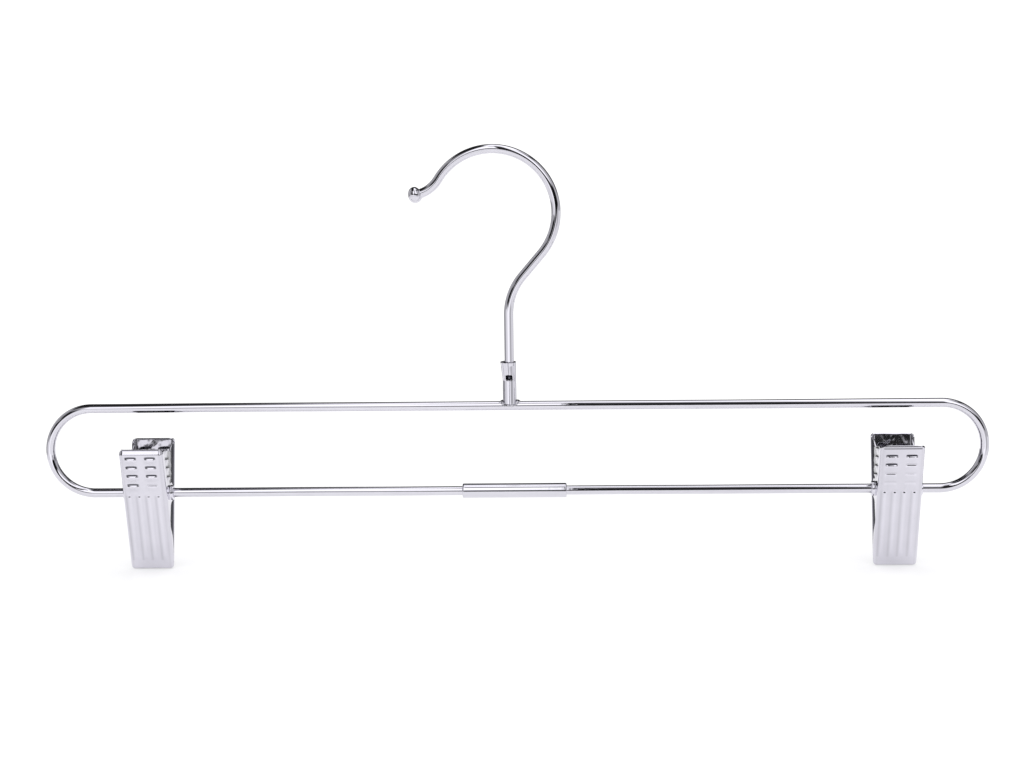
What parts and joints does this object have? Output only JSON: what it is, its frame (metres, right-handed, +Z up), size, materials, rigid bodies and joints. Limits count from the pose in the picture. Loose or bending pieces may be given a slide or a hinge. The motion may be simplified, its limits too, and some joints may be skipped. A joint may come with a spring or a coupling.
{
  "type": "clothes hanger",
  "caption": "Chromed wire hanger for skirts or trousers: looped frame, swivelling hook, and sprung clips that slide along the lower rail.",
  "frame": {"origin": "the hook's seat: the lowest point of the inside of the bow's top, where it rests on a hanging rail", "axes": "+X along the rails, hook opening towards -X; +Y from the front jaws to the back jaws; +Z up"},
  "size_m": [0.3556, 0.0234, 0.1596],
  "materials": {
    "chromed_wire": "bright chrome plating on round steel wire",
    "chromed_tube": "bright chrome plating on rolled steel tube",
    "plated_weld": "plated braze bead, slightly uneven",
    "chromed_sheet": "bright chrome plating on stamped steel sheet",
    "spring_wire": "nickel-plated spring wire"
  },
  "bodies": {
    "hook": {"hook": "chromed_wire"},
    "frame": {"frame_wire": "chromed_wire", "joining_sleeve": "chromed_tube", "swivel_ferrule": "chromed_tube", "ferrule_weld": "plated_weld"},
    "left_slider": {"left_torsion_spring": "spring_wire"},
    "left_back": {"left_back_jaw": "chromed_sheet"},
    "left_front": {"left_front_jaw": "chromed_sheet"},
    "right_slider": {"right_torsion_spring": "spring_wire"},
    "right_back": {"right_back_jaw": "chromed_sheet"},
    "right_front": {"right_front_jaw": "chromed_sheet"}
  },
  "joints": [
    {"name": "hook_swivel", "type": "hinge", "parent": "hook", "child": "frame", "pos_m": [0.00553, 0, -0.0772], "axis": [0, 0, 1], "continuous": true},
    {"name": "left_clip_slide", "type": "slide", "parent": "frame", "child": "left_slider", "axis": [1, 0, 0], "range_m": [-0.0107, 0.1095]},
    {"name": "left_clip_swing", "type": "hinge", "parent": "left_slider", "child": "left_back", "pos_m": [-0.13225, 0, -0.12655], "axis": [1, 0, 0], "continuous": true},
    {"name": "left_clip_open", "type": "hinge", "parent": "left_back", "child": "left_front", "pos_m": [-0.13225, 0, -0.12655], "axis": [-1, 0, 0], "range_deg": [0, 27], "stiffness_Nm_per_rad": 0.03, "springref_deg": -22.92, "deforming": ["left_torsion_spring"]},
    {"name": "right_clip_slide", "type": "slide", "parent": "frame", "child": "right_slider", "axis": [1, 0, 0], "range_m": [-0.114, 0.0062]},
    {"name": "right_clip_swing", "type": "hinge", "parent": "right_slider", "child": "right_back", "pos_m": [0.15058, 0, -0.12655], "axis": [1, 0, 0], "continuous": true},
    {"name": "right_clip_open", "type": "hinge", "parent": "right_back", "child": "right_front", "pos_m": [0.15058, 0, -0.12655], "axis": [-1, 0, 0], "range_deg": [0, 27], "stiffness_Nm_per_rad": 0.03, "springref_deg": -22.92, "deforming": ["right_torsion_spring"]}
  ]
}
